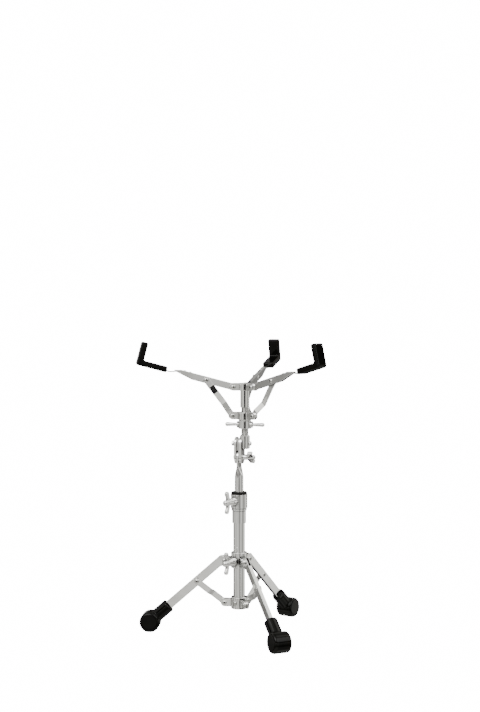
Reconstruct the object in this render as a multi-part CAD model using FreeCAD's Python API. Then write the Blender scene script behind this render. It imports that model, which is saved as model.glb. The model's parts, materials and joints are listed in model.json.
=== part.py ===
import FreeCAD
import Part
import math
import os

# Snare drum stand: folding tripod, telescoping column, tilter and three-arm basket.
# Millimetres and degrees, +Z up, origin on the floor under the column axis.

# Layout
arm_count = 3
leg_azimuth = 175.0
basket_azimuth = 192.0
tilt_azimuth = -17.0
nut_bar_azimuth = 164.0
wing_nut_turn = 48.0

# Fits
running_fit = 0.08
pin_fit = 0.05
slide_fit = 0.15
side_gap = 0.3
seat_gap = 0.3

# Drawing allowances
overlap = 1.0
far = 200.0
full_round = 0.999
touching = 1e-6
level_within = 1e-3

# Column tubes
lower_tube_d = 25.4
lower_tube_wall = 1.6
lower_tube_length = 214.0
lower_tube_recess = 1.5
upper_tube_d = 19.05
upper_tube_wall = 1.5
upper_tube_length = 231.0
guide_length = 18.0
guide_lip = 6.0
column_extension = 112.0
flare_length = 28.0
flare_steps = 6
flare_least_flat = 0.02
tongue_length = 16.0
tongue_thickness = 3.6
tongue_width = 27.6

# Leg linkage
pivot_r = 31.0
leg_link = 75.2
leg_link_angle = 37.1
leg_angle = 41.3
leg_width = 8.0
leg_depth = 18.5
leg_wall = 1.5
leg_edge_r = 1.4
leg_eye_r = 8.0
leg_corner_r = 1.0
leg_web_start = 20.0
leg_neck = 6.0
leg_flare = 16.0
leg_shoulder_r = 7.0
foot_reach = 211.2
leg_end_short = 24.0

# Braces
brace_width = 13.0
brace_thickness = 3.0
brace_ramp_start = 35.0
brace_ramp = 8.0

# Feet
foot_barrel_d = 43.0
foot_barrel_length = 39.0
foot_barrel_edge_r = 6.0
foot_flat = 0.5
foot_sleeve_d = 27.5
foot_sleeve_length = 32.0
foot_mouth_d = 23.0
foot_mouth_depth = 5.0
foot_lip = 1.0
foot_socket_gap = 0.1

# Collars of the leg linkage
bottom_collar_height = 26.0
leg_collar_height = 34.0
collar_wall = 4.6
collar_chamfer = 1.0
leg_pin_drop = 1.7
lug_eye_r = 8.5
brace_ear = 4.0
leg_ear = 3.5
set_screw_d = 6.0
set_screw_head_d = 8.0
set_screw_head = 2.0
set_screw_slot = 1.0

# Rivets and hinge pins
pin_d = 6.0
pin_head_d = 10.0
pin_head = 2.2
recess_width_share = 0.38
recess_depth_share = 0.75

# Wing screws
screw_d = 8.0
boss_d = 17.0
boss_reach = 13.0
clamp_boss_reach = 10.0
wing_hub_d = 15.0
wing_hub_length = 27.0
wing_span = 48.0
wing_thickness = 6.5
wing_tip_width = 13.0
wing_root_width = 9.0
wing_sweep = 6.0
wing_waist = 0.42
wing_hub_taper = 0.82
wing_edge_r = 1.6
wing_tip_r = 5.0

# Height clamp
clamp_d = 36.0
clamp_height = 29.4
clamp_neck_d = 30.0
clamp_neck_height = 27.0
clamp_ring_d = 33.0
clamp_ring_height = 5.5
tube_socket = 2.5
bushing_d = 29.0
bushing_flange_d = 35.0
bushing_flange = 5.5
bushing_chamfer = 2.0
bushing_screw_drop = 14.0

# Tilter
basket_offset = 12.9
cheek_thickness = 5.0
cheek_r = 14.0
tilt_washer_d = 24.0
tilt_washer = 1.0
tilter_bolt_rise = 29.5
web_gap = 1.5
web_setback = 4.0
side_plate = 6.0
socket_d = 22.0
socket_rise = 18.0
socket_top_rise = 48.0
socket_edge_r = 2.5
rod_floor = 3.0
tilt_bolt_d = 8.0
tilt_head_d = 12.5
tilt_head = 5.0
tilt_head_rim = 2.0
cross_bolt_d = 6.0
cross_head_d = 12.0
cross_head = 4.0
cross_collar_d = 9.0
cross_collar = 4.0
cross_thread = 2.0
hex_sides = 6
acorn_d = 10.0
acorn_height = 4.5
acorn_rim = 1.6
spacer_d = 14.0
wing_nut_reach = 14.0
wing_nut_span = 34.0
wing_nut_thickness = 8.0
wing_nut_tip_width = 15.0
wing_nut_tip_r = 3.0

# Basket column
rod_d = 16.0
sleeve_d = 20.0
sleeve_drop = 44.6
sleeve_chamfer = 0.8
nut_rise = 61.5
nut_height = 17.5
nut_d = 28.0
nut_boss_d = 14.0
nut_boss = 3.0
nut_bar_d = 6.6
nut_bar_tip_d = 9.0
nut_bar_reach = 44.0
nut_bar_swell = 0.35
thrust_washer_d = 26.0
thrust_washer = 1.2
basket_collar_height = 17.0
basket_collar_d = 30.0
collar_pivot_rise = 9.7
hub_pivot_rise = 151.6
hub_height = 16.0
hub_d = 30.0
hub_eye_r = 8.0
basket_ear = 3.0

# Basket arms
arm_pivot_r = 26.5
strut_pivot_r = 27.2
arm_link = 60.6
arm_angle = 15.0
arm_width = 9.0
arm_depth = 15.0
arm_wall = 1.5
arm_edge_r = 1.4
arm_web_end = 116.0
arm_taper_start = 90.0
arm_tip = 131.0
arm_tip_low = 1.5
arm_tip_high = 4.0
arm_tip_r = 1.0
arm_web_slope = 2.0
arm_web_start = 13.0

# Struts
strut_width = 13.0
strut_thickness = 3.0
strut_ramp_from = 13.0
strut_knee = 34.0
strut_bow = 10.5
strut_straight = 16.0
strut_hole_slack = 1.35

# Pads and their steel strips
strip_thickness = 2.5
strip_neck_width = 5.6
strip_pad_width = 14.0
strip_start = 88.0
strip_bend_start = 118.0
strip_bend_end = 140.0
strip_level = -2.5
strip_bend_r = 5.0
strip_corner_r = 0.5
strip_rivet_places = (97.0, 109.0)
strip_rivet_d = 3.6
strip_rivet_head_d = 6.0
strip_rivet_head = 1.4
pad_inner_end = 149.0
pad_outer = 213.5
pad_thickness = 12.0
pad_height = 50.0
pad_width = 24.0
pad_corner_r = 3.0
pad_heel_r = 5.0
pad_edge_r = 2.0
pad_slot_width = 9.0
pad_slot_margin = 9.0
pad_skin = 3.4

# Places worked out from the sizes above
foot_z = foot_barrel_d / 2 - foot_flat
leg_offset = leg_link * math.sin(math.radians(leg_angle - leg_link_angle))
brace_pin_reach = leg_link * math.cos(math.radians(leg_angle - leg_link_angle))
leg_sin = math.sin(math.radians(leg_angle))
leg_cos = math.cos(math.radians(leg_angle))
leg_pivot_z = foot_z + foot_reach * leg_sin - leg_offset * leg_cos
brace_pivot_z = leg_pivot_z - 2 * leg_link * math.sin(math.radians(leg_link_angle))
bottom_collar_z = brace_pivot_z - bottom_collar_height / 2
lower_tube_z = bottom_collar_z + lower_tube_recess
lower_tube_top = lower_tube_z + lower_tube_length
clamp_z = lower_tube_top + tube_socket
clamp_top = clamp_z + clamp_height
tilt_z = lower_tube_top + column_extension
tongue_z = tilt_z - tongue_length
flare_z = tongue_z - flare_length
upper_tube_z = flare_z - upper_tube_length
cross_bolt_z = tilt_z + tilter_bolt_rise
socket_top = tilt_z + socket_top_rise
nut_z = tilt_z + nut_rise
thrust_z = nut_z + nut_height
basket_collar_z = thrust_z + thrust_washer
strut_pivot_z = basket_collar_z + collar_pivot_rise
hub_pivot_z = tilt_z + hub_pivot_rise
hub_z = hub_pivot_z - hub_height / 2
sleeve_z = hub_pivot_z - sleeve_drop
screw_azimuth = leg_azimuth + 180.0 / arm_count
basket_x = basket_offset * math.cos(math.radians(tilt_azimuth))
basket_y = basket_offset * math.sin(math.radians(tilt_azimuth))
knuckle_x = arm_pivot_r + arm_link * math.cos(math.radians(arm_angle))
knuckle_z = hub_pivot_z + arm_link * math.sin(math.radians(arm_angle))
strut_link = math.hypot(knuckle_x - strut_pivot_r, knuckle_z - strut_pivot_z)
strut_angle = math.degrees(math.atan2(knuckle_z - strut_pivot_z, knuckle_x - strut_pivot_r))


def vec(x, y, z):
    return FreeCAD.Vector(x, y, z)


UP = vec(0, 0, 1)
ACROSS = vec(0, 1, 0)
OUT = vec(1, 0, 0)


# Shape helpers

def rounded_face(corners):
    """Face in the XZ plane. Each corner is (x, z, radius), rounded by a tangent arc."""
    count = len(corners)
    edges = []
    starts = []
    ends = []
    arcs = []
    for i, (x, z, radius) in enumerate(corners):
        here = vec(x, 0, z)
        last = corners[i - 1]
        following = corners[(i + 1) % count]
        back = (vec(last[0], 0, last[1]) - here).normalize()
        ahead = (vec(following[0], 0, following[1]) - here).normalize()
        half = back.getAngle(ahead) / 2
        run = radius / math.tan(half)
        starts.append(here + back * run)
        ends.append(here + ahead * run)
        if radius > 0:
            inward = (back + ahead).normalize()
            middle = here + inward * (radius / math.sin(half) - radius)
            arcs.append(Part.Arc(starts[i], middle, ends[i]).toShape())
        else:
            arcs.append(None)
    for i in range(count):
        if arcs[i]:
            edges.append(arcs[i])
        following = starts[(i + 1) % count]
        if ends[i].distanceToPoint(following) > touching:
            edges.append(Part.makeLine(ends[i], following))
    return Part.Face(Part.Wire(edges))


def plate(corners, y0, y1):
    """Flat plate whose outline lies in the XZ plane, from y0 to y1."""
    face = rounded_face(corners)
    face.translate(vec(0, y0, 0))
    return face.extrude(vec(0, y1 - y0, 0))


def block(x0, x1, y0, y1, z0, z1):
    return Part.makeBox(x1 - x0, y1 - y0, z1 - z0, vec(x0, y0, z0))


def upright(radius, z0, z1, x=0.0, y=0.0):
    """Round bar along Z."""
    return Part.makeCylinder(radius, z1 - z0, vec(x, y, z0), UP)


def crosswise(radius, x, z, y0, y1):
    """Round bar along Y through (x, z)."""
    return Part.makeCylinder(radius, y1 - y0, vec(x, y0, z), ACROSS)


def lengthwise(radius, x0, x1, z=0.0):
    """Round bar along X at height z."""
    return Part.makeCylinder(radius, x1 - x0, vec(x0, 0, z), OUT)


def turned(path):
    """Solid of revolution about Z. A path item is (r, z), or ((r, z) on an arc, (r, z) at its end)."""
    edges = []
    start = path[0]
    here = start
    for item in path[1:] + [start]:
        if isinstance(item[0], tuple):
            middle, end = item
            arc = Part.Arc(vec(here[0], 0, here[1]), vec(middle[0], 0, middle[1]), vec(end[0], 0, end[1]))
            edges.append(arc.toShape())
        else:
            end = item
            if math.hypot(end[0] - here[0], end[1] - here[1]) > touching:
                edges.append(Part.makeLine(vec(here[0], 0, here[1]), vec(end[0], 0, end[1])))
        here = end
    return Part.Face(Part.Wire(edges)).revolve(vec(0, 0, 0), UP, 360)


def along_x(shape):
    """Lay a shape made along Z down along X."""
    shape.rotate(vec(0, 0, 0), ACROSS, 90)
    return shape


def along_y(shape):
    """Lay a shape made along Z down along Y."""
    shape.rotate(vec(0, 0, 0), OUT, -90)
    return shape


def moved(shape, x, y, z):
    shape.translate(vec(x, y, z))
    return shape


def sloped(shape, angle, x, z):
    """Turn a link made along X by its angle above the horizontal, with its origin at (x, z)."""
    shape.rotate(vec(0, 0, 0), ACROSS, -angle)
    shape.translate(vec(x, 0, z))
    return shape


def around(shape, azimuth):
    """Turn a piece made in the +X half plane to its azimuth about the column."""
    copy = shape.copy()
    copy.rotate(vec(0, 0, 0), UP, azimuth)
    return copy


def on_basket(shape, azimuth):
    """Turn a piece about the basket axis, which stands beside the column."""
    return moved(around(shape, azimuth), basket_x, basket_y, 0)


def joined(first, *others):
    return first.fuse(list(others)).removeSplitter()


def rounded_edges(shape, radius, wanted):
    """Fillet the edges that the test picks out."""
    return shape.makeFillet(radius, [edge for edge in shape.Edges if wanted(edge)])


def dome_path(radius, height, z, up=1):
    """The arc item of a turned path from (radius, z) to the axis, rising by height."""
    sphere = (radius ** 2 + height ** 2) / (2 * height)
    half = math.asin(radius / sphere) / 2
    middle = (sphere * math.sin(half), z + up * (height - sphere * (1 - math.cos(half))))
    return (middle, (0.0, z + up * height))


def rivet(x, z, y0, y1, shank_d=pin_d, head_d=pin_head_d, head=pin_head):
    """Semi-tubular rivet along Y, with a domed and recessed head outside y0 and y1."""
    shank = shank_d / 2
    radius = head_d / 2
    length = y1 - y0
    path = [(0.0, -head)]
    low_middle = dome_path(radius, head, 0.0, -1)[0]
    path.append((low_middle, (radius, 0.0)))
    path += [(shank, 0.0), (shank, length), (radius, length)]
    path.append(dome_path(radius, head, length))
    recess_r = radius * recess_width_share
    depth = head * recess_depth_share
    recesses = [upright(recess_r, -head - overlap, depth - head),
                upright(recess_r, length + head - depth, length + head + overlap)]
    return moved(along_y(turned(path).cut(recesses)), x, y0, z)


def lug(pivot_x, pivot_z, root_x, eye_r, gap, ear):
    """Clevis lug with two ears and a cross hole, standing out along X."""
    half = gap / 2 + ear
    outline = [
        (root_x, pivot_z - eye_r, 0),
        (pivot_x + eye_r, pivot_z - eye_r, eye_r * full_round),
        (pivot_x + eye_r, pivot_z + eye_r, eye_r * full_round),
        (root_x, pivot_z + eye_r, 0),
    ]
    body = plate(outline, -half, half)
    slot_x = pivot_x - eye_r - overlap
    slot = block(slot_x, pivot_x + far, -gap / 2, gap / 2, pivot_z - far, pivot_z + far)
    hole = crosswise(pin_d / 2 + pin_fit, pivot_x, pivot_z, -far, far)
    return body.cut([slot, hole])


def bent_strip(link, width, thickness, bends, low_hole_r, high_hole_r):
    """Flat strip from the origin along X, on the centre plane at first. Each bend is (x, sideways place)."""
    eye = width / 2
    half = thickness / 2
    line = [(-eye, 0.0, 0.0)] + [(x, y, thickness) for x, y in bends] + [(link + eye, bends[-1][1], 0.0)]
    near = [(x, y - half, r) for x, y, r in line]
    far_side = [(x, y + half, r) for x, y, r in reversed(line)]
    bent = plate(near + far_side, -eye, eye)
    bent.rotate(vec(0, 0, 0), OUT, 90)
    bent = bent.mirror(vec(0, 0, 0), ACROSS)
    outline = [
        (-eye, -eye, eye * full_round),
        (link + eye, -eye, eye * full_round),
        (link + eye, eye, eye * full_round),
        (-eye, eye, eye * full_round),
    ]
    strip = bent.common(plate(outline, -far, far))
    low_hole = crosswise(low_hole_r, 0, 0, -far, far)
    high_hole = crosswise(high_hole_r, link, 0, -far, far)
    return strip.cut([low_hole, high_hole])


def wing_head(root, hub_d, span, thickness, tip_width, corner_r):
    """Hub with two wings, along X from root. The wings stand along Z and sweep outwards."""
    radius = hub_d / 2
    end = root + wing_hub_length
    dome = radius / 2
    nose = radius * wing_hub_taper
    hub = along_x(turned([
        (0.0, root),
        (radius, root),
        (nose, end - dome),
        dome_path(nose, dome, end - dome),
    ]))
    tip = span / 2
    waist = tip * wing_waist
    middle = root + wing_hub_length / 2
    outer = middle + wing_sweep
    outline = [
        (middle - wing_root_width / 2, 0, 0),
        (middle - wing_root_width / 2, waist, corner_r),
        (outer - tip_width / 2, tip, corner_r),
        (outer + tip_width / 2, tip, corner_r),
        (middle + wing_root_width / 2, waist, corner_r),
        (middle + wing_root_width / 2, 0, 0),
    ]
    wing = plate(outline, -thickness / 2, thickness / 2)
    wing = rounded_edges(wing, wing_edge_r, lambda edge: edge.BoundBox.YLength < touching
                         and edge.BoundBox.ZMax > touching)
    other = wing.mirror(vec(0, 0, 0), UP)
    return joined(hub, wing, other)


def wing_screw(tip, root):
    """Wing screw along X whose plain end is at tip and whose head starts at root."""
    shank = lengthwise(screw_d / 2, tip, root + overlap)
    head = wing_head(root, wing_hub_d, wing_span, wing_thickness, wing_tip_width, wing_tip_r)
    return joined(head, shank)


def screw_boss(inner, outer, z):
    """Round boss for a wing screw, along X."""
    return lengthwise(boss_d / 2, inner, outer, z)


# Base column

def make_lower_tube():
    radius = lower_tube_d / 2
    inner = radius - lower_tube_wall
    tube = upright(radius, lower_tube_z, lower_tube_top)
    return tube.cut(upright(inner, lower_tube_z - overlap, lower_tube_top + overlap))


def collar_body(outer_r, inner_r, z0, height, chamfer):
    """Turned ring with chamfered outer edges."""
    top = z0 + height
    return turned([
        (inner_r, z0),
        (outer_r - chamfer, z0),
        (outer_r, z0 + chamfer),
        (outer_r, top - chamfer),
        (outer_r - chamfer, top),
        (inner_r, top),
    ])


bottom_collar_r = lower_tube_d / 2 + collar_wall
brace_gap = brace_thickness + 2 * side_gap
leg_gap = leg_width + 2 * side_gap


def make_bottom_collar():
    inner = lower_tube_d / 2 + pin_fit
    body = collar_body(bottom_collar_r, inner, bottom_collar_z, bottom_collar_height, collar_chamfer)
    one = lug(pivot_r, brace_pivot_z, inner + overlap, lug_eye_r, brace_gap, brace_ear)
    pieces = [around(one, leg_azimuth + i * 360.0 / arm_count) for i in range(arm_count)]
    seat = lengthwise(set_screw_head_d / 2 + overlap, inner + overlap, bottom_collar_r + overlap, brace_pivot_z)
    pieces.append(around(seat, screw_azimuth))
    body = joined(body, *pieces)
    hole = lengthwise(set_screw_d / 2 + pin_fit, inner - overlap, far, brace_pivot_z)
    bore = upright(inner, bottom_collar_z - overlap, bottom_collar_z + bottom_collar_height + overlap)
    return body.cut([around(hole, screw_azimuth), bore])


def make_set_screw():
    inner = lower_tube_d / 2 + pin_fit
    seat = bottom_collar_r + overlap
    shank = lengthwise(set_screw_d / 2, inner, seat + overlap, brace_pivot_z)
    head = lengthwise(set_screw_head_d / 2, seat, seat + set_screw_head, brace_pivot_z)
    slot_half = set_screw_slot / 2
    slot = block(seat + set_screw_head / 2, far, -slot_half, slot_half,
                 brace_pivot_z - far, brace_pivot_z + far)
    return around(joined(shank, head).cut(slot), screw_azimuth)


def pin_group(x, z, half, azimuth, turn):
    """Three clevis pins, one through each lug."""
    one = rivet(x, z, -half, half)
    return Part.makeCompound([turn(one, azimuth + i * 360.0 / arm_count) for i in range(arm_count)])


def make_brace_pins():
    return pin_group(pivot_r, brace_pivot_z, brace_gap / 2 + brace_ear, leg_azimuth, around)


# Leg collar

leg_collar_z = leg_pivot_z - leg_collar_height / 2 + leg_pin_drop
leg_collar_bore = lower_tube_d / 2 + slide_fit
leg_collar_r = leg_collar_bore + collar_wall
leg_boss_end = leg_collar_r + boss_reach
leg_screw_root = leg_boss_end + seat_gap


def make_leg_collar():
    top = leg_collar_z + leg_collar_height
    body = collar_body(leg_collar_r, leg_collar_bore, leg_collar_z, leg_collar_height, collar_chamfer)
    one = lug(pivot_r, leg_pivot_z, leg_collar_bore + overlap, lug_eye_r, leg_gap, leg_ear)
    pieces = [around(one, leg_azimuth + i * 360.0 / arm_count) for i in range(arm_count)]
    boss = screw_boss(leg_collar_bore + overlap, leg_boss_end, leg_pivot_z)
    pieces.append(around(boss, screw_azimuth))
    body = joined(body, *pieces)
    hole = lengthwise(screw_d / 2 + running_fit, leg_collar_bore - overlap, far, leg_pivot_z)
    bore = upright(leg_collar_bore, leg_collar_z - overlap, top + overlap)
    return body.cut([around(hole, screw_azimuth), bore])


def make_leg_pins():
    return pin_group(pivot_r, leg_pivot_z, leg_gap / 2 + leg_ear, leg_azimuth, around)


def make_leg_wing_screw():
    screw = wing_screw(lower_tube_d / 2 + seat_gap, leg_screw_root)
    return around(moved(screw, 0, 0, leg_pivot_z), screw_azimuth)


# Legs, braces and feet, made along X from the leg collar's hinge pin

leg_top = leg_offset + leg_depth / 2
leg_low = leg_offset - leg_depth / 2
leg_length = foot_reach - leg_end_short
brace_offset = leg_width / 2 + side_gap + brace_thickness / 2
brace_outer = brace_offset + brace_thickness / 2 + pin_fit


def make_leg():
    half = leg_width / 2
    eye = leg_eye_r
    outline = [
        (-eye, -eye, eye * full_round),
        (leg_neck, -eye, eye / 2),
        (leg_flare, leg_low, eye / 2),
        (leg_length, leg_low, leg_corner_r),
        (leg_length, leg_top, leg_corner_r),
        (0, leg_top, leg_shoulder_r),
        (-eye, eye, leg_shoulder_r),
    ]
    body = plate(outline, -half, half)
    body = rounded_edges(body, leg_edge_r, lambda edge: edge.Length > leg_length / 2
                         and edge.BoundBox.ZMin > leg_top - level_within)
    inside = half - leg_wall
    channel = joined(block(-far, leg_length + overlap, -inside, inside, leg_low - far, leg_top - leg_wall),
                     block(-far, leg_web_start, -inside, inside, leg_low - far, far))
    hinge = crosswise(pin_d / 2 + running_fit, 0, 0, -far, far)
    knuckle = crosswise(pin_d / 2 + pin_fit, brace_pin_reach, leg_offset, -far, far)
    return sloped(body.cut([channel, hinge, knuckle]), -leg_angle, pivot_r, leg_pivot_z)


def make_brace_rivet():
    one = rivet(brace_pin_reach, leg_offset, -leg_width / 2, brace_outer)
    return sloped(one, -leg_angle, pivot_r, leg_pivot_z)


def make_foot():
    """Rubber foot: a crosswise barrel on the floor, and a sleeve over the end of the leg."""
    edge = foot_barrel_edge_r
    radius = foot_barrel_d / 2
    half = foot_barrel_length / 2
    bulge = edge * math.sqrt(0.5)
    barrel = turned([
        (0.0, -half),
        (radius - edge, -half),
        ((radius - edge + bulge, -half + edge - bulge), (radius, -half + edge)),
        (radius, half - edge),
        ((radius - edge + bulge, half - edge + bulge), (radius - edge, half)),
        (0.0, half),
    ])
    barrel = moved(along_y(barrel), foot_reach, 0, leg_offset)
    mouth = foot_reach - radius - foot_sleeve_length
    lip = foot_sleeve_d / 2
    sleeve = turned([
        (0.0, mouth),
        (lip - foot_lip, mouth),
        (lip, mouth + foot_lip),
        (lip, foot_reach),
        (0.0, foot_reach),
    ])
    sleeve = moved(along_x(sleeve), 0, 0, leg_offset)
    recess = lengthwise(foot_mouth_d / 2, mouth - overlap, mouth + foot_mouth_depth, leg_offset)
    gap = foot_socket_gap
    socket = block(mouth - overlap, leg_length + gap, -leg_width / 2 - gap, leg_width / 2 + gap,
                   leg_low - gap, leg_top + gap)
    foot = joined(barrel, sleeve).cut([recess, socket])
    foot = sloped(foot, -leg_angle, pivot_r, leg_pivot_z)
    floor = block(-far, 2 * far, -far, far, -far, 0)
    return foot.cut(floor)


def make_brace():
    ramp_end = leg_link - brace_ramp_start
    bends = [(ramp_end - brace_ramp, 0.0), (ramp_end, brace_offset)]
    hole = pin_d / 2 + running_fit
    strip = bent_strip(leg_link, brace_width, brace_thickness, bends, hole, hole)
    return sloped(strip, leg_link_angle, pivot_r, brace_pivot_z)


# Height clamp

screw_z = clamp_top - bushing_screw_drop
clamp_boss_end = clamp_d / 2 + clamp_boss_reach
clamp_screw_root = clamp_boss_end + seat_gap


def make_clamp_housing():
    tube_r = lower_tube_d / 2 + pin_fit
    bush_r = bushing_d / 2 + running_fit
    low = clamp_z - clamp_neck_height - clamp_ring_height
    body = turned([
        (tube_r, low),
        (clamp_neck_d / 2, low),
        (clamp_neck_d / 2, clamp_z - clamp_ring_height),
        (clamp_ring_d / 2, clamp_z - clamp_ring_height),
        (clamp_ring_d / 2, clamp_z),
        (clamp_d / 2, clamp_z),
        (clamp_d / 2, clamp_top),
        (bush_r, clamp_top),
        (bush_r, lower_tube_top),
        (tube_r, lower_tube_top),
    ])
    boss = around(screw_boss(bush_r + overlap, clamp_boss_end, screw_z), screw_azimuth)
    body = joined(body, boss)
    hole = lengthwise(screw_d / 2 + running_fit, bush_r - overlap, far, screw_z)
    bore = upright(bush_r, lower_tube_top, clamp_top + overlap)
    return body.cut([around(hole, screw_azimuth), bore])


def make_clamp_bushing():
    inner = upper_tube_d / 2 + pin_fit
    outer = bushing_d / 2
    flange = bushing_flange_d / 2
    return turned([
        (inner, lower_tube_top + seat_gap),
        (outer, lower_tube_top + seat_gap),
        (outer, clamp_top + seat_gap),
        (flange, clamp_top + seat_gap),
        (flange, clamp_top + bushing_flange - bushing_chamfer),
        (flange - bushing_chamfer, clamp_top + bushing_flange),
        (inner, clamp_top + bushing_flange),
    ])


def make_clamp_wing_screw():
    screw = wing_screw(bushing_d / 2 + seat_gap, clamp_screw_root)
    return around(moved(screw, 0, 0, screw_z), screw_azimuth)


# Upper tube with its flattened end

def oval(length, thickness, z):
    """Flat-sided oval wire at height z, thin along X and long along Y, in four edges."""
    end_r = thickness / 2
    y = length / 2 - end_r
    corners = [vec(end_r, -y, z), vec(end_r, y, z), vec(-end_r, y, z), vec(-end_r, -y, z)]
    return Part.Wire([
        Part.makeLine(corners[0], corners[1]),
        Part.Arc(corners[1], vec(0, y + end_r, z), corners[2]).toShape(),
        Part.makeLine(corners[2], corners[3]),
        Part.Arc(corners[3], vec(0, -y - end_r, z), corners[0]).toShape(),
    ])


def make_upper_tube():
    radius = upper_tube_d / 2
    inner = radius - upper_tube_wall
    tube = upright(radius, upper_tube_z, flare_z)
    tube = tube.cut(upright(inner, upper_tube_z - overlap, flare_z - overlap))
    sections = []
    for i in range(flare_steps + 1):
        share = i / flare_steps
        ease = share * share * (3 - 2 * share)
        thickness = upper_tube_d + (tongue_thickness - upper_tube_d) * ease
        width = max(upper_tube_d + (tongue_width - upper_tube_d) * ease, thickness + flare_least_flat)
        sections.append(oval(width, thickness, flare_z + flare_length * share))
    flare = Part.makeLoft(sections, True, True)
    half = tongue_thickness / 2
    end_r = tongue_width / 2
    outline = [
        (-end_r, tongue_z, 0),
        (end_r, tongue_z, 0),
        (end_r, tilt_z + end_r, end_r * full_round),
        (-end_r, tilt_z + end_r, end_r * full_round),
    ]
    tongue = plate(outline, -half, half)
    tongue.rotate(vec(0, 0, 0), UP, 90)
    body = joined(tube, flare, tongue)
    hole = lengthwise(tilt_bolt_d / 2 + running_fit, -far, far, tilt_z)
    return around(body.cut(hole), tilt_azimuth)


def make_tube_guide():
    """Plastic guide on the foot of the upper tube, running inside the lower tube."""
    outer = lower_tube_d / 2 - lower_tube_wall - slide_fit
    plug = upper_tube_d / 2 - upper_tube_wall - pin_fit
    return turned([
        (0.0, upper_tube_z - guide_lip),
        (outer, upper_tube_z - guide_lip),
        (outer, upper_tube_z),
        (plug, upper_tube_z),
        (plug, upper_tube_z + guide_length),
        (0.0, upper_tube_z + guide_length),
    ])


# Tilter, made with the tilt axis along X

plate_x0 = tongue_thickness / 2 + tilt_washer
plate_x1 = plate_x0 + side_plate
cheek_x0 = -plate_x0 - cheek_thickness
wing_nut_root = plate_x1 + tilt_washer
cheek_top = cross_bolt_z + cheek_r
socket_x1 = basket_offset + socket_d / 2


def cheek_outline():
    """Side plate with round ends about the tilt bolt and the cross bolt, drawn across the tilt axis."""
    return [
        (-cheek_r, tilt_z - cheek_r, cheek_r * full_round),
        (cheek_r, tilt_z - cheek_r, cheek_r * full_round),
        (cheek_r, cheek_top, cheek_r * full_round),
        (-cheek_r, cheek_top, cheek_r * full_round),
    ]


def side_plate_between(x0, x1):
    body = plate(cheek_outline(), -x1, -x0)
    body.rotate(vec(0, 0, 0), UP, 90)
    return body


def make_tilter_casting():
    body = side_plate_between(plate_x0, plate_x1)
    web_low = tilt_z + tongue_width / 2 + web_gap
    web = side_plate_between(-plate_x0, plate_x0)
    web_half = cheek_r - web_setback
    web = web.common(block(-far, far, -web_half, web_half, web_low, cheek_top - web_setback))
    socket = turned([
        (0.0, tilt_z + socket_rise),
        (socket_d / 2 - socket_edge_r, tilt_z + socket_rise),
        (socket_d / 2, tilt_z + socket_rise + socket_edge_r),
        (socket_d / 2, socket_top - socket_edge_r),
        (socket_d / 2 - socket_edge_r, socket_top),
        (0.0, socket_top),
    ])
    body = joined(body, web, moved(socket, basket_offset, 0, 0))
    swing = lengthwise(tongue_width / 2 + web_gap, -plate_x0, plate_x0, tilt_z)
    bore = upright(rod_d / 2 + pin_fit, tilt_z + socket_rise + rod_floor, far + socket_top, basket_offset)
    pivot = lengthwise(tilt_bolt_d / 2 + pin_fit, -far, far, tilt_z)
    cross = lengthwise(cross_bolt_d / 2 + pin_fit, -far, far, cross_bolt_z)
    return around(body.cut([swing, bore, pivot, cross]), tilt_azimuth)


def make_tilter_cheek():
    body = side_plate_between(cheek_x0, -plate_x0)
    pivot = lengthwise(tilt_bolt_d / 2 + pin_fit, -far, far, tilt_z)
    cross = lengthwise(cross_bolt_d / 2 + pin_fit, -far, far, cross_bolt_z)
    return around(body.cut([pivot, cross]), tilt_azimuth)


def make_friction_washers():
    ring = tilt_washer_d / 2
    hole = tilt_bolt_d / 2 + pin_fit
    pieces = []
    for x0 in (-plate_x0, tongue_thickness / 2 + pin_fit):
        disc = lengthwise(ring, x0, x0 + tilt_washer - pin_fit, tilt_z)
        disc = disc.cut(lengthwise(hole, -far, far, tilt_z))
        pieces.append(around(disc, tilt_azimuth))
    return Part.makeCompound(pieces)


def make_tilt_bolt():
    shank = lengthwise(tilt_bolt_d / 2, cheek_x0 - overlap, wing_nut_root + wing_nut_reach, tilt_z)
    radius = tilt_head_d / 2
    dome_middle = dome_path(radius, tilt_head - tilt_head_rim, -tilt_head_rim, -1)[0]
    head = turned([
        (0.0, -tilt_head),
        (dome_middle, (radius, -tilt_head_rim)),
        (radius, 0.0),
        (0.0, 0.0),
    ])
    head = moved(along_x(head), cheek_x0, 0, tilt_z)
    return around(joined(shank, head), tilt_azimuth)


def make_tilt_spacer():
    """Flat washer between the casting and the wing nut."""
    disc = lengthwise(spacer_d / 2, plate_x1, wing_nut_root - pin_fit, tilt_z)
    disc = disc.cut(lengthwise(tilt_bolt_d / 2 + pin_fit, -far, far, tilt_z))
    return around(disc, tilt_azimuth)


def make_tilt_wing_nut():
    """Wing nut whose wings pass under the basket socket."""
    nut = wing_head(wing_nut_root, tilt_head_d, wing_nut_span, wing_nut_thickness, wing_nut_tip_width,
                    wing_nut_tip_r)
    thread = lengthwise(tilt_bolt_d / 2 + running_fit, -far, wing_nut_root + wing_nut_reach + side_gap)
    nut = nut.cut(thread)
    nut.rotate(vec(0, 0, 0), OUT, wing_nut_turn)
    return around(moved(nut, 0, 0, tilt_z), tilt_azimuth)


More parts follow.
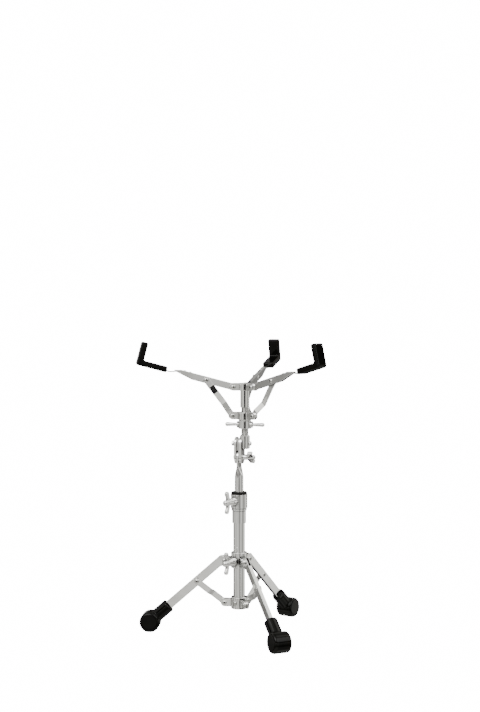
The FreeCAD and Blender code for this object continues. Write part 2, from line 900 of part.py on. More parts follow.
def make_cross_bolt():
    shank = lengthwise(cross_bolt_d / 2, cheek_x0 - cross_collar, socket_x1 + cross_thread, cross_bolt_z)
    collar = lengthwise(cross_collar_d / 2, cheek_x0 - cross_collar, cheek_x0, cross_bolt_z)
    radius = cross_head_d / 2
    corners = []
    for i in range(hex_sides + 1):
        turn = math.tau * i / hex_sides
        corners.append(vec(cheek_x0 - cross_collar, radius * math.cos(turn),
                           cross_bolt_z + radius * math.sin(turn)))
    head = Part.Face(Part.makePolygon(corners)).extrude(vec(-cross_head, 0, 0))
    return around(joined(shank, collar, head), tilt_azimuth)


def make_cross_nut():
    """Domed nut on the far end of the cross bolt."""
    radius = acorn_d / 2
    nut = turned([
        (0.0, 0.0),
        (radius, 0.0),
        (radius, acorn_rim),
        dome_path(radius, acorn_height - acorn_rim, acorn_rim),
    ])
    nut = moved(along_x(nut), socket_x1, 0, cross_bolt_z)
    thread = lengthwise(cross_bolt_d / 2 + pin_fit, -far, socket_x1 + cross_thread + pin_fit, cross_bolt_z)
    return around(nut.cut(thread), tilt_azimuth)


# Basket column, made about Z and moved to the basket axis

def make_basket_rod():
    low = tilt_z + socket_rise + rod_floor
    rod = upright(rod_d / 2, low, sleeve_z + hub_height, basket_offset)
    cross = lengthwise(cross_bolt_d / 2 + pin_fit, -far, far, cross_bolt_z)
    return around(rod.cut(cross), tilt_azimuth)


def make_hub_sleeve():
    outer = sleeve_d / 2
    top = hub_z + hub_height
    body = turned([
        (0.0, sleeve_z),
        (outer - sleeve_chamfer, sleeve_z),
        (outer, sleeve_z + sleeve_chamfer),
        (outer, top),
        (0.0, top),
    ])
    bore = upright(rod_d / 2 + pin_fit, sleeve_z - overlap, sleeve_z + hub_height + pin_fit)
    return moved(body.cut(bore), basket_x, basket_y, 0)


arm_gap = arm_width + 2 * side_gap
strut_gap = strut_thickness + 2 * side_gap


def make_basket_hub():
    bore_r = sleeve_d / 2 + pin_fit
    body = collar_body(hub_d / 2, bore_r, hub_z, hub_height, collar_chamfer)
    one = lug(arm_pivot_r, hub_pivot_z, bore_r + overlap, hub_eye_r, arm_gap, basket_ear)
    pieces = [around(one, basket_azimuth + i * 360.0 / arm_count) for i in range(arm_count)]
    body = joined(body, *pieces)
    body = body.cut(upright(bore_r, hub_z - overlap, hub_z + hub_height + overlap))
    return moved(body, basket_x, basket_y, 0)


def make_hub_pins():
    return pin_group(arm_pivot_r, hub_pivot_z, arm_gap / 2 + basket_ear, basket_azimuth, on_basket)


def make_basket_collar():
    bore_r = sleeve_d / 2 + slide_fit
    body = collar_body(basket_collar_d / 2, bore_r, basket_collar_z, basket_collar_height, collar_chamfer)
    one = lug(strut_pivot_r, strut_pivot_z, bore_r + overlap, hub_eye_r, strut_gap, basket_ear)
    pieces = [around(one, basket_azimuth + i * 360.0 / arm_count) for i in range(arm_count)]
    body = joined(body, *pieces)
    bore = upright(bore_r, basket_collar_z - overlap, basket_collar_z + basket_collar_height + overlap)
    return moved(body.cut(bore), basket_x, basket_y, 0)


def make_collar_pins():
    return pin_group(strut_pivot_r, strut_pivot_z, strut_gap / 2 + basket_ear, basket_azimuth, on_basket)


def make_thrust_washer():
    disc = upright(thrust_washer_d / 2, thrust_z, basket_collar_z)
    disc = disc.cut(upright(rod_d / 2 + running_fit, thrust_z - overlap, basket_collar_z + overlap))
    return moved(disc, basket_x, basket_y, 0)


nut_mid = nut_z + nut_height / 2


def make_t_nut():
    body = collar_body(nut_d / 2, rod_d / 2 + running_fit, nut_z, nut_height - pin_fit, collar_chamfer)
    reach = nut_d / 2 + nut_boss
    boss = lengthwise(nut_boss_d / 2, -reach, reach, nut_mid)
    body = joined(body, boss)
    bore = upright(rod_d / 2 + running_fit, nut_z - overlap, nut_z + nut_height)
    socket = lengthwise(nut_bar_d / 2 + pin_fit, -far, far, nut_mid)
    core = upright(nut_d / 2 - overlap, nut_z - overlap, nut_z + nut_height)
    body = body.cut([bore, socket.cut(core)])
    return moved(around(body, nut_bar_azimuth), basket_x, basket_y, 0)


def make_nut_bars():
    root = nut_d / 2 - overlap
    thin = nut_bar_d / 2
    thick = nut_bar_tip_d / 2
    tip = nut_bar_reach - thick
    half_way = (root + nut_boss + tip) / 2
    bar = along_x(turned([
        (0.0, root),
        (thin, root),
        (thin, root + nut_boss + overlap),
        ((thin + (thick - thin) * nut_bar_swell, half_way), (thick, tip)),
        dome_path(thick, thick, tip),
    ]))
    bar = moved(bar, 0, 0, nut_mid)
    pieces = [moved(around(bar, nut_bar_azimuth + turn), basket_x, basket_y, 0) for turn in (0.0, 180.0)]
    return Part.makeCompound(pieces)


# Arms, struts, strips and pads, made along X from the hub pin

arm_top = arm_depth / 2
arm_eye = arm_depth / 2
strut_offset = arm_width / 2 + side_gap + strut_thickness / 2
strut_outer = strut_offset + strut_thickness / 2 + pin_fit


def arm_place(shape):
    return sloped(shape, arm_angle, arm_pivot_r, hub_pivot_z)


def make_arm():
    """Pressed channel, open below. Its sides taper to a tip past the end of the web."""
    half = arm_width / 2
    outline = [
        (-arm_eye, -arm_eye, arm_eye * full_round),
        (arm_taper_start, -arm_eye, arm_depth),
        (arm_tip, arm_tip_low, arm_tip_r),
        (arm_tip, arm_tip_high, arm_tip_r),
        (arm_web_end, arm_top, arm_web_slope),
        (-arm_eye, arm_top, arm_eye * full_round),
    ]
    body = plate(outline, -half, half)
    body = rounded_edges(body, arm_edge_r, lambda edge: edge.Length > arm_link
                         and edge.BoundBox.ZMin > arm_top - level_within)
    under = block(arm_web_start, far, -half + arm_wall, half - arm_wall, -far, arm_top - arm_wall)
    ends = [block(-far, arm_web_start, -half + arm_wall, half - arm_wall, -far, far),
            block(arm_web_end - arm_web_slope, far, -half + arm_wall, half - arm_wall, -far, far)]
    hinge = crosswise(pin_d / 2 + running_fit, 0, 0, -far, far)
    knuckle = crosswise(pin_d / 2 + pin_fit, arm_link, 0, -far, far)
    holes = [upright(strip_rivet_d / 2 + pin_fit, -far, far, x) for x in strip_rivet_places]
    return arm_place(body.cut([under, hinge, knuckle] + ends + holes))


def strip_outline(grow):
    """Side outline of the strip: under the web, down to the pad, and up inside its upright."""
    high = arm_top - arm_wall
    low = high - strip_thickness
    level = strip_level + strip_thickness / 2
    floor = level - strip_thickness
    upright_x = pad_outer - pad_thickness / 2
    top = pad_height - pad_thickness / 2 - pad_skin - strip_bend_r
    left = upright_x - strip_thickness / 2 - grow
    right = upright_x + strip_thickness / 2 + grow
    outer_r = strip_bend_r + strip_thickness
    return [
        (strip_start, low - grow, 0),
        (strip_bend_start, low - grow, outer_r),
        (strip_bend_end, floor - grow, strip_bend_r),
        (right, floor - grow, outer_r + grow),
        (right, top + grow, strip_corner_r),
        (left, top + grow, strip_corner_r),
        (left, level + grow, strip_bend_r - grow),
        (strip_bend_end, level + grow, outer_r),
        (strip_bend_start, high + grow, strip_bend_r),
        (strip_start, high + grow, 0),
    ]


def strip_solid(grow):
    """Narrow neck between the arm's sides, wider inside the pad."""
    neck = strip_neck_width / 2 + grow
    wide = strip_pad_width / 2 + grow
    step = pad_inner_end + pad_skin
    narrow_part = plate(strip_outline(grow), -neck, neck)
    wide_part = plate(strip_outline(grow), -wide, wide)
    return joined(narrow_part, wide_part.common(block(step - grow, far + pad_outer, -wide, wide, -far, far)))


def make_pad_strip():
    holes = [upright(strip_rivet_d / 2 + pin_fit, -far, far, x) for x in strip_rivet_places]
    return arm_place(strip_solid(0.0).cut(holes))


def make_pad():
    """Rubber L with a pocket for the strip and a slot along its underside."""
    half = pad_width / 2
    floor = -pad_thickness / 2
    ceiling = floor + pad_height
    inner_x = pad_outer - pad_thickness
    outline = [
        (pad_inner_end, floor, pad_corner_r),
        (pad_outer, floor, pad_heel_r),
        (pad_outer, ceiling, pad_corner_r),
        (inner_x, ceiling, pad_corner_r),
        (inner_x, floor + pad_thickness, pad_corner_r),
        (pad_inner_end, floor + pad_thickness, pad_corner_r),
    ]
    body = plate(outline, -half, half)
    body = rounded_edges(body, pad_edge_r, lambda edge: edge.BoundBox.YLength < touching)
    pocket = strip_solid(pin_fit)
    slot = block(pad_inner_end + pad_slot_margin, inner_x - pad_slot_margin / 2,
                 -pad_slot_width / 2, pad_slot_width / 2, -far, strip_level)
    return arm_place(body.cut([pocket, slot]))


def make_arm_rivets():
    """One rivet that carries the strut, and two that hold the strip under the web."""
    pieces = [rivet(arm_link, 0, -arm_width / 2, strut_outer)]
    low = arm_top - arm_wall - strip_thickness
    for x in strip_rivet_places:
        small = rivet(0, 0, 0, arm_wall + strip_thickness, strip_rivet_d, strip_rivet_head_d, strip_rivet_head)
        small.rotate(vec(0, 0, 0), OUT, 90)
        pieces.append(moved(small, x, 0, low))
    return Part.makeCompound([arm_place(piece) for piece in pieces])


def make_strut():
    """Flat strip that bows sideways at its knee and comes back to lie along the arm."""
    bends = [(strut_ramp_from, 0.0), (strut_knee, strut_bow), (strut_link - strut_straight, strut_offset)]
    strip = bent_strip(strut_link, strut_width, strut_thickness, bends,
                       pin_d / 2 + running_fit, pin_d / 2 + strut_hole_slack)
    return sloped(strip, strut_angle, strut_pivot_r, strut_pivot_z)


# Assembly

def build():
    pieces = {
        "lower_tube": make_lower_tube(),
        "bottom_collar": make_bottom_collar(),
        "bottom_collar_screw": make_set_screw(),
        "brace_pins": make_brace_pins(),
        "leg_collar": make_leg_collar(),
        "leg_pins": make_leg_pins(),
        "leg_wing_screw": make_leg_wing_screw(),
        "clamp_housing": make_clamp_housing(),
        "clamp_bushing": make_clamp_bushing(),
        "clamp_wing_screw": make_clamp_wing_screw(),
        "upper_tube": make_upper_tube(),
        "tube_guide": make_tube_guide(),
        "tilter_casting": make_tilter_casting(),
        "tilter_cheek": make_tilter_cheek(),
        "friction_washers": make_friction_washers(),
        "tilt_bolt": make_tilt_bolt(),
        "tilt_spacer": make_tilt_spacer(),
        "tilt_wing_nut": make_tilt_wing_nut(),
        "cross_bolt": make_cross_bolt(),
        "cross_nut": make_cross_nut(),
        "basket_rod": make_basket_rod(),
        "hub_sleeve": make_hub_sleeve(),
        "basket_hub": make_basket_hub(),
        "hub_pins": make_hub_pins(),
        "basket_collar": make_basket_collar(),
        "collar_pins": make_collar_pins(),
        "thrust_washer": make_thrust_washer(),
        "t_nut": make_t_nut(),
        "nut_bars": make_nut_bars(),
    }
    on_leg = {"leg": make_leg(), "brace": make_brace(), "brace_rivet": make_brace_rivet(), "foot": make_foot()}
    on_arm = {"arm": make_arm(), "strut": make_strut(), "pad_strip": make_pad_strip(), "pad": make_pad(),
              "arm_rivets": make_arm_rivets()}
    for i in range(arm_count):
        turn = i * 360.0 / arm_count
        for name, shape in on_leg.items():
            pieces[f"{name}_{i + 1}"] = around(shape, leg_azimuth + turn)
        for name, shape in on_arm.items():
            pieces[f"{name}_{i + 1}"] = on_basket(shape, basket_azimuth + turn)
    return pieces


parts = build()
os.makedirs("parts", exist_ok=True)
for name, shape in parts.items():
    shape.exportStep(os.path.join("parts", name + ".step"))
print(len(parts), "parts")
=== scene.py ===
import json
import math

import bmesh
import bpy
from mathutils import Matrix, Vector, noise


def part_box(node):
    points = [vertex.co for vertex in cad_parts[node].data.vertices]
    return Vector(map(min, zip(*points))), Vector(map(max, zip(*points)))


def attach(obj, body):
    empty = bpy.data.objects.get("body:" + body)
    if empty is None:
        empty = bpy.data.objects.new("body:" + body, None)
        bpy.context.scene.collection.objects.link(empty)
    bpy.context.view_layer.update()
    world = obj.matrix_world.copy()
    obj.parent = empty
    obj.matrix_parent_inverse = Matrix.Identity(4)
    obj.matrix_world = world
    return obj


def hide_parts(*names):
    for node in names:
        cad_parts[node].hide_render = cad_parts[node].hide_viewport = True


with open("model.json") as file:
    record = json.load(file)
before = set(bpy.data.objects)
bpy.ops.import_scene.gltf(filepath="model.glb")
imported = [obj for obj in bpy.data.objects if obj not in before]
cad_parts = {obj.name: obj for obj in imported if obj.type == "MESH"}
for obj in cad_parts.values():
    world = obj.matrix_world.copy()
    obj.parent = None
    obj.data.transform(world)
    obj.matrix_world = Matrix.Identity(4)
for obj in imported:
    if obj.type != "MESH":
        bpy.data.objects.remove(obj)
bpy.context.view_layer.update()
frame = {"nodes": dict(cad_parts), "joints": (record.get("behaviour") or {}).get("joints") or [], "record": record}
nodes = frame["nodes"]
joints = {joint["name"]: joint for joint in frame["joints"]}
node_slot = {part["node"]: part["material_slot"] for part in frame["record"]["subparts"]}
bodies = frame["record"]["behaviour"]["bodies"]
node_body = {node: body for body, members in bodies.items() for node in members}

# Camera of the photograph, metres and degrees
camera_place = (0.0019, -2.911, 0.7004)
camera_level = 90.0
camera_pitch = 2.03
camera_lens = 68.66
sensor_long_side = 36.0

# Studio lights, in metres and watts
key_place = (-1.6, -2.2, 2.6)
key_size = 2.2
key_power = 60.0
fill_place = (2.0, -1.4, 1.8)
fill_size = 2.0
fill_power = 25.0
light_aim = (0.0, 0.0, 0.3)

# Surround: brightness seen directly, by soft light and around the compass by polished metal.
# A place is a share of the turn, from 0.5 straight behind the viewer to 0.75 on the right.
backdrop_white = 16.0
soft_light = 0.6
round_the_studio = [(0.0, 0.20), (0.07, 0.20), (0.14, 0.27), (0.20, 0.70), (0.235, 0.28), (0.30, 1.05),
                    (0.345, 0.48), (0.385, 1.0), (0.43, 0.75), (0.472, 1.35), (0.50, 0.60), (0.545, 0.42),
                    (0.567, 0.74), (0.61, 1.05), (0.65, 0.42), (0.72, 0.40), (0.76, 0.90), (0.81, 1.2),
                    (0.87, 0.32), (0.93, 0.20), (1.0, 0.20)]
board_warmth = 0.035
# From straight down at 0 to straight up at 1
floor_to_ceiling = [(0.0, 1.1), (0.22, 1.3), (0.26, 0.45), (0.36, 0.30), (0.395, 1.0), (0.50, 1.0),
                    (0.525, 2.4), (0.555, 2.4), (0.575, 0.20), (0.68, 0.14), (0.72, 1.8), (0.88, 2.8),
                    (1.0, 1.2)]
# Dark viewer's stand, across and up
dark_across = [(0.0, 0.0), (0.43, 0.0), (0.44, 1.0), (0.533, 1.0), (0.543, 0.0), (1.0, 0.0)]
dark_up = [(0.0, 0.0), (0.38, 0.0), (0.40, 0.25), (0.43, 0.40), (0.44, 0.75), (0.455, 1.0), (0.50, 1.0),
           (0.515, 0.0), (1.0, 0.0)]
dark_level = 0.015

# White floor, metres: clear of the folded feet and seen only by the camera, so it takes no shadow
floor_level = 0.0
floor_drop = 0.02
floor_reach = 4.0

# Edges and faces of the metal, metres and degrees
edge_bevel = 0.00025
edge_bevel_steps = 2
bevel_angle = 32.0
weld_distance = 0.000005
flat_weight = 100

# Surface patterns have their scale per metre and their height in metres
noise_roughness = 0.55
warmth_of_green = 0.8

# Painted shade in hollows: the colour is darkened where the piece's own walls close in. How near their walls are,
# and what is left of the shine by how open they are
hollow_shade_reach = 0.006
hollow_painted_shade = [(0.45, 0.02), (0.68, 0.10), (0.95, 1.0)]

# Polished plating by slot, over tinted clouds of (place, times the shade, times the warmth)
platings = {
    "chrome_tube": {"shade": 0.87, "warm": 0.008, "rough": (0.035, 0.10), "ripple_scale": 30.0,
                    "ripple": 0.015, "sweep": 0.0003},
    "chrome_strip": {"shade": 0.84, "warm": 0.012, "rough": (0.06, 0.14), "ripple_scale": 70.0,
                     "ripple": 0.05, "sweep": 0.0011},
    "chrome_casting": {"shade": 0.85, "warm": 0.006, "rough": (0.05, 0.14), "ripple_scale": 120.0,
                       "ripple": 0.08, "sweep": 0.001},
}
cloud_scale = 14.0
cloud_detail = 4.0
cloud_stops = [(0.3, 0.94, 1.0), (0.55, 1.0, 0.0), (0.75, 1.03, -0.5)]
haze_scale = 85.0
haze_detail = 6.0
haze_roughness = 0.7
sweep_scale = 20.0
sweep_detail = 1.0
sweep_strength = 1.0
ripple_detail = 2.0
ripple_height = 0.0004

# Plated hardware, with stops of (place, shade, warmth)
steel_scale = 160.0
steel_detail = 4.0
steel_stops = [(0.3, 0.5, 0.01), (0.7, 0.68, 0.004)]
steel_rough = (0.16, 0.34)
marks_scale = 900.0
marks_detail = 2.0
marks_strength = 0.12
marks_height = 0.0001

# Moulded black by slot, over scuffs of (place, times the shade, warmth)
blacks = {
    "black_rubber": {"shade": 0.0006, "rough": (0.08, 0.18), "grain_scale": 1500.0, "grain": 0.05},
    "black_nylon": {"shade": 0.003, "rough": (0.26, 0.42), "grain_scale": 2200.0, "grain": 0.12},
}
black_shine = 0.15
scuff_scale = 42.0
scuff_detail = 6.0
scuff_roughness = 0.65
scuff_stops = [(0.35, 1.0, 0.0), (0.6, 1.35, 0.0006), (0.82, 2.3, 0.001)]
soft_grain_scale = 160.0
soft_grain_detail = 3.0
soft_grain_strength = 0.10
soft_grain_height = 0.0006
fine_grain_detail = 2.0
fine_grain_height = 0.00025

# Rubber mouldings, metres
rubber_slot = "black_rubber"
rubber_voxel = 0.0009
rubber_fullness = 0.0006
rubber_smoothing = 5
rubber_smoothing_share = 0.5
rubber_unevenness = 0.00012
rubber_unevenness_scale = 55.0

# Thread of the basket rod, metres, with the steepness of its flanks
hardware_slot = "plated_hardware"
thread_pitch = 0.0025
thread_depth = 0.0009
thread_flank = 2.6
thread_sides = 48
thread_rows_per_turn = 8

# Black patch on the front strut, metres
patch_centre = 0.0713
patch_length = 0.017
patch_width = 0.0122
patch_thickness = 0.00018
patch_corner = 0.0008
patch_corner_steps = 4
patch_look_from = 0.05
patch_shine = 0.2
patch_scale = 220.0
patch_detail = 5.0
patch_stops = [(0.4, 0.004), (0.8, 0.008)]
patch_rough = (0.34, 0.46)


# Material building

def link(tree, source, output, target, socket):
    tree.links.new(source.outputs[output], target.inputs[socket])


def make_noise(tree, coords, scale, detail, roughness=noise_roughness):
    node = tree.nodes.new("ShaderNodeTexNoise")
    node.inputs["Scale"].default_value = scale
    node.inputs["Detail"].default_value = detail
    node.inputs["Roughness"].default_value = roughness
    link(tree, coords, "Object", node, "Vector")
    return node


def make_ramp(tree, source, output, stops):
    """Colour ramp over a 0 to 1 value, with stops of (place, colour)."""
    node = tree.nodes.new("ShaderNodeValToRGB")
    ramp = node.color_ramp
    ramp.elements[0].position, ramp.elements[0].color = stops[0]
    ramp.elements[1].position, ramp.elements[1].color = stops[-1]
    for place, colour in stops[1:-1]:
        ramp.elements.new(place).color = colour
    link(tree, source, output, node, "Fac")
    return node


def make_range(tree, source, output, limits):
    """Maps a 0 to 1 value onto the limits."""
    node = tree.nodes.new("ShaderNodeMapRange")
    node.inputs["To Min"].default_value, node.inputs["To Max"].default_value = limits
    link(tree, source, output, node, "Value")
    return node


def make_bump(tree, source, output, strength, distance, below=None):
    node = tree.nodes.new("ShaderNodeBump")
    node.inputs["Strength"].default_value = strength
    node.inputs["Distance"].default_value = distance
    link(tree, source, output, node, "Height")
    if below:
        link(tree, below, "Normal", node, "Normal")
    return node


def grey(value, warm=0.0):
    return (value + warm, value + warm * warmth_of_green, value - warm, 1.0)


def grey_stops(levels, warm=0.0):
    return [(place, grey(level, level * warm)) for place, level in levels]


def mixed(tree, factor, factor_output, below, above, blend="MIX"):
    """Mix of two colours, each a (node, output) pair or a plain level."""
    node = tree.nodes.new("ShaderNodeMix")
    node.data_type = "RGBA"
    node.blend_type = blend
    if factor:
        link(tree, factor, factor_output, node, "Factor")
    else:
        node.inputs["Factor"].default_value = 1.0
    for socket, source in (("A", below), ("B", above)):
        colour_socket = [item for item in node.inputs if item.name == socket and item.type == "RGBA"][0]
        if isinstance(source, tuple):
            tree.links.new(source[0].outputs[source[1]], colour_socket)
        else:
            colour_socket.default_value = grey(source)
    return node


def multiplied(tree, one, other):
    return mixed(tree, None, None, one, other, "MULTIPLY")


def start_material(name):
    material = bpy.data.materials.new(name)
    material.use_nodes = True
    tree = material.node_tree
    coords = tree.nodes.new("ShaderNodeTexCoord")
    return material, tree, tree.nodes["Principled BSDF"], coords


def with_painted_hollow_shade(tree, colour):
    """Painted shade: darkens a colour in the piece's own hollows."""
    openness = tree.nodes.new("ShaderNodeAmbientOcclusion")
    openness.only_local = True
    openness.inputs["Distance"].default_value = hollow_shade_reach
    shine = make_ramp(tree, openness, "AO", grey_stops(hollow_painted_shade))
    return multiplied(tree, (colour, "Color"), (shine, "Color"))


def chrome(name, shade, warm, rough, ripple_scale, ripple, sweep):
    """Polished plating: clouds of tint, wiped haze, and the ripple and long sweep of the steel below."""
    material, tree, shader, coords = start_material(name)
    shader.inputs["Metallic"].default_value = 1.0
    clouds = make_noise(tree, coords, cloud_scale, cloud_detail)
    stops = [(place, grey(shade * lighter, warm * warmer)) for place, lighter, warmer in cloud_stops]
    colour = make_ramp(tree, clouds, "Fac", stops)
    # Painted shade darkens the tinted colour in the piece's own hollows
    link(tree, with_painted_hollow_shade(tree, colour), "Result", shader, "Base Color")
    haze = make_noise(tree, coords, haze_scale, haze_detail, haze_roughness)
    link(tree, make_range(tree, haze, "Fac", rough), "Result", shader, "Roughness")
    swell = make_noise(tree, coords, sweep_scale, sweep_detail)
    bend = make_bump(tree, swell, "Fac", sweep_strength, sweep)
    waves = make_noise(tree, coords, ripple_scale, ripple_detail)
    link(tree, make_bump(tree, waves, "Fac", ripple, ripple_height, bend), "Normal", shader, "Normal")
    return material


def plated_steel(name):
    """Bright plated hardware with fine turning marks."""
    material, tree, shader, coords = start_material(name)
    shader.inputs["Metallic"].default_value = 1.0
    tint = make_noise(tree, coords, steel_scale, steel_detail)
    colour = make_ramp(tree, tint, "Fac", [(place, grey(shade, warm)) for place, shade, warm in steel_stops])
    # Painted shade darkens the tinted colour in the piece's own hollows
    link(tree, with_painted_hollow_shade(tree, colour), "Result", shader, "Base Color")
    link(tree, make_range(tree, tint, "Fac", steel_rough), "Result", shader, "Roughness")
    marks = make_noise(tree, coords, marks_scale, marks_detail)
    link(tree, make_bump(tree, marks, "Fac", marks_strength, marks_height), "Normal", shader, "Normal")
    return material


def moulded_black(name, shade, rough, grain_scale, grain):
    """Moulded black rubber or nylon: fine grain, scuffed patches and a little dust."""
    material, tree, shader, coords = start_material(name)
    shader.inputs["Specular IOR Level"].default_value = black_shine
    wear = make_noise(tree, coords, scuff_scale, scuff_detail, scuff_roughness)
    stops = [(place, grey(shade * lighter, warm)) for place, lighter, warm in scuff_stops]
    colour = make_ramp(tree, wear, "Fac", stops)
    link(tree, colour, "Color", shader, "Base Color")
    link(tree, make_range(tree, wear, "Fac", rough), "Result", shader, "Roughness")
    soft = make_noise(tree, coords, soft_grain_scale, soft_grain_detail)
    broad = make_bump(tree, soft, "Fac", soft_grain_strength, soft_grain_height)
    fine = make_noise(tree, coords, grain_scale, fine_grain_detail)
    link(tree, make_bump(tree, fine, "Fac", grain, fine_grain_height, broad), "Normal", shader, "Normal")
    return material


def vinyl_patch(name):
    """Satin black stick-on patch."""
    material, tree, shader, coords = start_material(name)
    shader.inputs["Specular IOR Level"].default_value = patch_shine
    wear = make_noise(tree, coords, patch_scale, patch_detail)
    colour = make_ramp(tree, wear, "Fac", grey_stops(patch_stops))
    link(tree, colour, "Color", shader, "Base Color")
    link(tree, make_range(tree, wear, "Fac", patch_rough), "Result", shader, "Roughness")
    return material


looks = {name: chrome(name, **values) for name, values in platings.items()}
looks[hardware_slot] = plated_steel(hardware_slot)
for name, values in blacks.items():
    looks[name] = moulded_black(name, **values)
patch_look = vinyl_patch("black_patch")


# Pieces

def smooth_shaded(mesh, material):
    mesh.materials.clear()
    mesh.materials.append(material)
    for polygon in mesh.polygons:
        polygon.use_smooth = True


def soften_edges(node):
    """Close the seams of the solid's mesh and break its sharp edges, so that they catch light."""
    weld = node.modifiers.new("weld", "WELD")
    weld.merge_threshold = weld_distance
    bevel = node.modifiers.new("edge_break", "BEVEL")
    bevel.width = edge_bevel
    bevel.segments = edge_bevel_steps
    bevel.limit_method = "ANGLE"
    bevel.angle_limit = math.radians(bevel_angle)
    level = node.modifiers.new("level_flats", "WEIGHTED_NORMAL")
    level.mode = "FACE_AREA"
    level.weight = flat_weight


def new_piece(name, mesh, body, material):
    piece = bpy.data.objects.new(name, mesh)
    bpy.context.scene.collection.objects.link(piece)
    smooth_shaded(mesh, material)
    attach(piece, body)
    return piece


def moulded_mesh(node):
    """Even, soft-edged skin over a rubber solid, a little fuller and as uneven as a moulding."""
    work = bpy.data.objects.new("work", node.data.copy())
    bpy.context.scene.collection.objects.link(work)
    weld = work.modifiers.new("weld", "WELD")
    weld.merge_threshold = weld_distance
    remesh = work.modifiers.new("remesh", "REMESH")
    remesh.mode = "VOXEL"
    remesh.voxel_size = rubber_voxel
    smooth = work.modifiers.new("smooth", "SMOOTH")
    smooth.factor = rubber_smoothing_share
    smooth.iterations = rubber_smoothing
    bpy.context.view_layer.update()
    evaluated = work.evaluated_get(bpy.context.evaluated_depsgraph_get())
    mesh = bpy.data.meshes.new_from_object(evaluated)
    bpy.data.objects.remove(work)
    normals = [vertex.normal.copy() for vertex in mesh.vertices]
    for vertex, normal in zip(mesh.vertices, normals):
        drift = noise.noise(vertex.co * rubber_unevenness_scale)
        vertex.co += normal * (rubber_fullness + drift * rubber_unevenness)
        vertex.co.z = max(vertex.co.z, floor_level)
    return mesh


def make_mouldings():
    for name in list(nodes):
        if node_slot[name] != rubber_slot:
            continue
        mesh = moulded_mesh(nodes[name])
        piece = new_piece(name + "_rubber", mesh, node_body[name], looks[rubber_slot])
        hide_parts(name)


def thread_mesh(axis_x, axis_y, radius, bottom, top):
    """Closed rod whose side follows a V thread."""
    row_step = thread_pitch / thread_rows_per_turn
    rows = int((top - bottom) / row_step) + 1
    mesh = bpy.data.meshes.new("rod_thread")
    shape = bmesh.new()
    rings = []
    for row in range(rows + 1):
        z = min(bottom + row * row_step, top)
        ring = []
        for side in range(thread_sides):
            turn = side / thread_sides
            off_middle = abs((z / thread_pitch - turn) % 1.0 - 0.5)
            r = radius - thread_depth * max(0.0, 1.0 - off_middle * thread_flank)
            angle = turn * math.tau
            ring.append(shape.verts.new((axis_x + r * math.cos(angle), axis_y + r * math.sin(angle), z)))
        rings.append(ring)
    for low, high in zip(rings, rings[1:]):
        for side in range(thread_sides):
            after = (side + 1) % thread_sides
            shape.faces.new((low[side], low[after], high[after], high[side]))
    shape.faces.new(list(reversed(rings[0])))
    shape.faces.new(rings[-1])
    shape.to_mesh(mesh)
    shape.free()
    return mesh


def make_rod():
    low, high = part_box("hub_sleeve")
    rod_low, rod_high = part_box("basket_rod")
    radius = (rod_high.x - rod_low.x) / 2
    mesh = thread_mesh((low.x + high.x) / 2, (low.y + high.y) / 2, radius, rod_low.z, rod_high.z)
    rod = new_piece("rod_thread", mesh, node_body["basket_rod"], looks[hardware_slot])
    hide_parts("basket_rod")


def strut_frame():
    """Matrix on the outer face of the strut nearest the viewer: X along the strut, Y out of the face."""
    pin = Vector(joints["strut_1_hinge"]["pos_m"])
    strut = nodes["strut_1"]
    tip = max((vertex.co for vertex in strut.data.vertices), key=lambda point: (point - pin).length)
    along = (tip - pin).normalized()
    side = -Vector(joints["strut_1_hinge"]["axis"])
    start = pin + along * patch_centre + side * patch_look_from
    _, place, normal, _ = strut.ray_cast(start, -side)
    along = (along - normal * along.dot(normal)).normalized()
    matrix = Matrix((along, normal, along.cross(normal))).transposed().to_4x4()
    matrix.translation = place
    return matrix


def make_patch():
    """Plain black patch stuck to the strut."""
    mesh = bpy.data.meshes.new("strut_patch")
    shape = bmesh.new()
    bmesh.ops.create_cube(shape, size=1.0)
    bmesh.ops.scale(shape, vec=(patch_length, patch_thickness, patch_width), verts=shape.verts)
    through = [edge for edge in shape.edges
               if abs((edge.verts[0].co - edge.verts[1].co).y) > patch_thickness / 2]
    bmesh.ops.bevel(shape, geom=through, offset=patch_corner, segments=patch_corner_steps, affect="EDGES")
    bmesh.ops.translate(shape, vec=(0.0, patch_thickness / 2, 0.0), verts=shape.verts)
    bmesh.ops.transform(shape, matrix=strut_frame(), verts=shape.verts)
    shape.to_mesh(mesh)
    shape.free()
    new_piece("strut_patch", mesh, "strut_1", patch_look)


make_mouldings()
make_rod()
make_patch()
replaced = {"basket_rod"} | {name for name in nodes if node_slot[name] == rubber_slot}
for name, node in nodes.items():
    smooth_shaded(node.data, looks[node_slot[name]])
    if name not in replaced:
        soften_edges(node)


# Studio: soft boxes in a white surround

def make_light(name, place, power, size):
    data = bpy.data.lights.new(name, "AREA")
    data.energy = power
    data.size = size
    light = bpy.data.objects.new(name, data)
    light.location = place
    light.rotation_euler = (Vector(light_aim) - Vector(place)).to_track_quat("-Z", "Y").to_euler()
    bpy.context.scene.collection.objects.link(light)


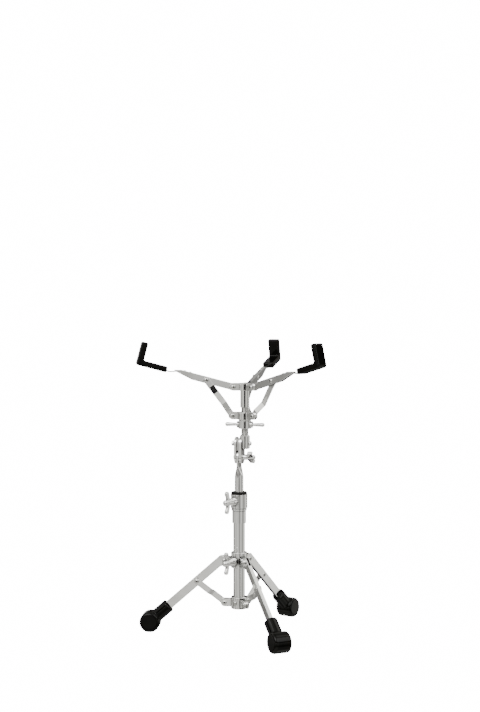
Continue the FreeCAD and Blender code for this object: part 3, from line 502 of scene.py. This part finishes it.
def make_surround():
    """White surround. Polished metal sees a studio's pale boards and the dark gaps between them."""
    world = bpy.data.worlds.new("studio")
    bpy.context.scene.world = world
    world.use_nodes = True
    tree = world.node_tree
    coords = tree.nodes.new("ShaderNodeTexCoord")
    split = tree.nodes.new("ShaderNodeSeparateXYZ")
    link(tree, coords, "Generated", split, "Vector")
    behind = tree.nodes.new("ShaderNodeMath")
    behind.operation = "MULTIPLY"
    behind.inputs[1].default_value = -1.0
    link(tree, split, "Y", behind, 0)
    bearing = tree.nodes.new("ShaderNodeMath")
    bearing.operation = "ARCTAN2"
    link(tree, split, "X", bearing, 0)
    link(tree, behind, "Value", bearing, 1)
    turn = tree.nodes.new("ShaderNodeMapRange")
    turn.inputs["From Min"].default_value = -math.pi
    turn.inputs["From Max"].default_value = math.pi
    link(tree, bearing, "Value", turn, "Value")
    height = tree.nodes.new("ShaderNodeMapRange")
    height.inputs["From Min"].default_value = -1.0
    link(tree, split, "Z", height, "Value")
    boards = make_ramp(tree, turn, "Result", grey_stops(round_the_studio, board_warmth))
    layers = make_ramp(tree, height, "Result", grey_stops(floor_to_ceiling))
    lit = multiplied(tree, (boards, "Color"), (layers, "Color"))
    across = make_ramp(tree, turn, "Result", grey_stops(dark_across))
    up = make_ramp(tree, height, "Result", grey_stops(dark_up))
    stand = multiplied(tree, (across, "Color"), (up, "Color"))
    studio = mixed(tree, stand, "Result", (lit, "Result"), dark_level)
    path = tree.nodes.new("ShaderNodeLightPath")
    soft = mixed(tree, path, "Is Glossy Ray", soft_light, (studio, "Result"))
    seen = mixed(tree, path, "Is Camera Ray", (soft, "Result"), backdrop_white)
    link(tree, seen, "Result", tree.nodes["Background"], "Color")


def make_floor():
    """Plain white floor, as bright as the surround."""
    material = bpy.data.materials.new("white_floor")
    material.use_nodes = True
    tree = material.node_tree
    glow = tree.nodes.new("ShaderNodeEmission")
    glow.inputs["Strength"].default_value = backdrop_white
    link(tree, glow, "Emission", tree.nodes["Material Output"], "Surface")
    corners = [(-floor_reach, -floor_reach), (floor_reach, -floor_reach), (floor_reach, floor_reach),
               (-floor_reach, floor_reach)]
    mesh = bpy.data.meshes.new("floor")
    mesh.from_pydata([(x, y, floor_level - floor_drop) for x, y in corners], [], [(0, 1, 2, 3)])
    mesh.materials.append(material)
    floor = bpy.data.objects.new("floor", mesh)
    floor.visible_diffuse = False
    floor.visible_glossy = False
    floor.visible_shadow = False
    bpy.context.scene.collection.objects.link(floor)


def make_camera():
    data = bpy.data.cameras.new("camera")
    data.lens = camera_lens
    data.sensor_width = sensor_long_side
    data.sensor_fit = "AUTO"
    camera = bpy.data.objects.new("camera", data)
    camera.location = camera_place
    camera.rotation_euler = (math.radians(camera_level - camera_pitch), 0.0, 0.0)
    bpy.context.scene.collection.objects.link(camera)
    bpy.context.scene.camera = camera


make_light("key", key_place, key_power, key_size)
make_light("fill", fill_place, fill_power, fill_size)
make_surround()
make_floor()
make_camera()
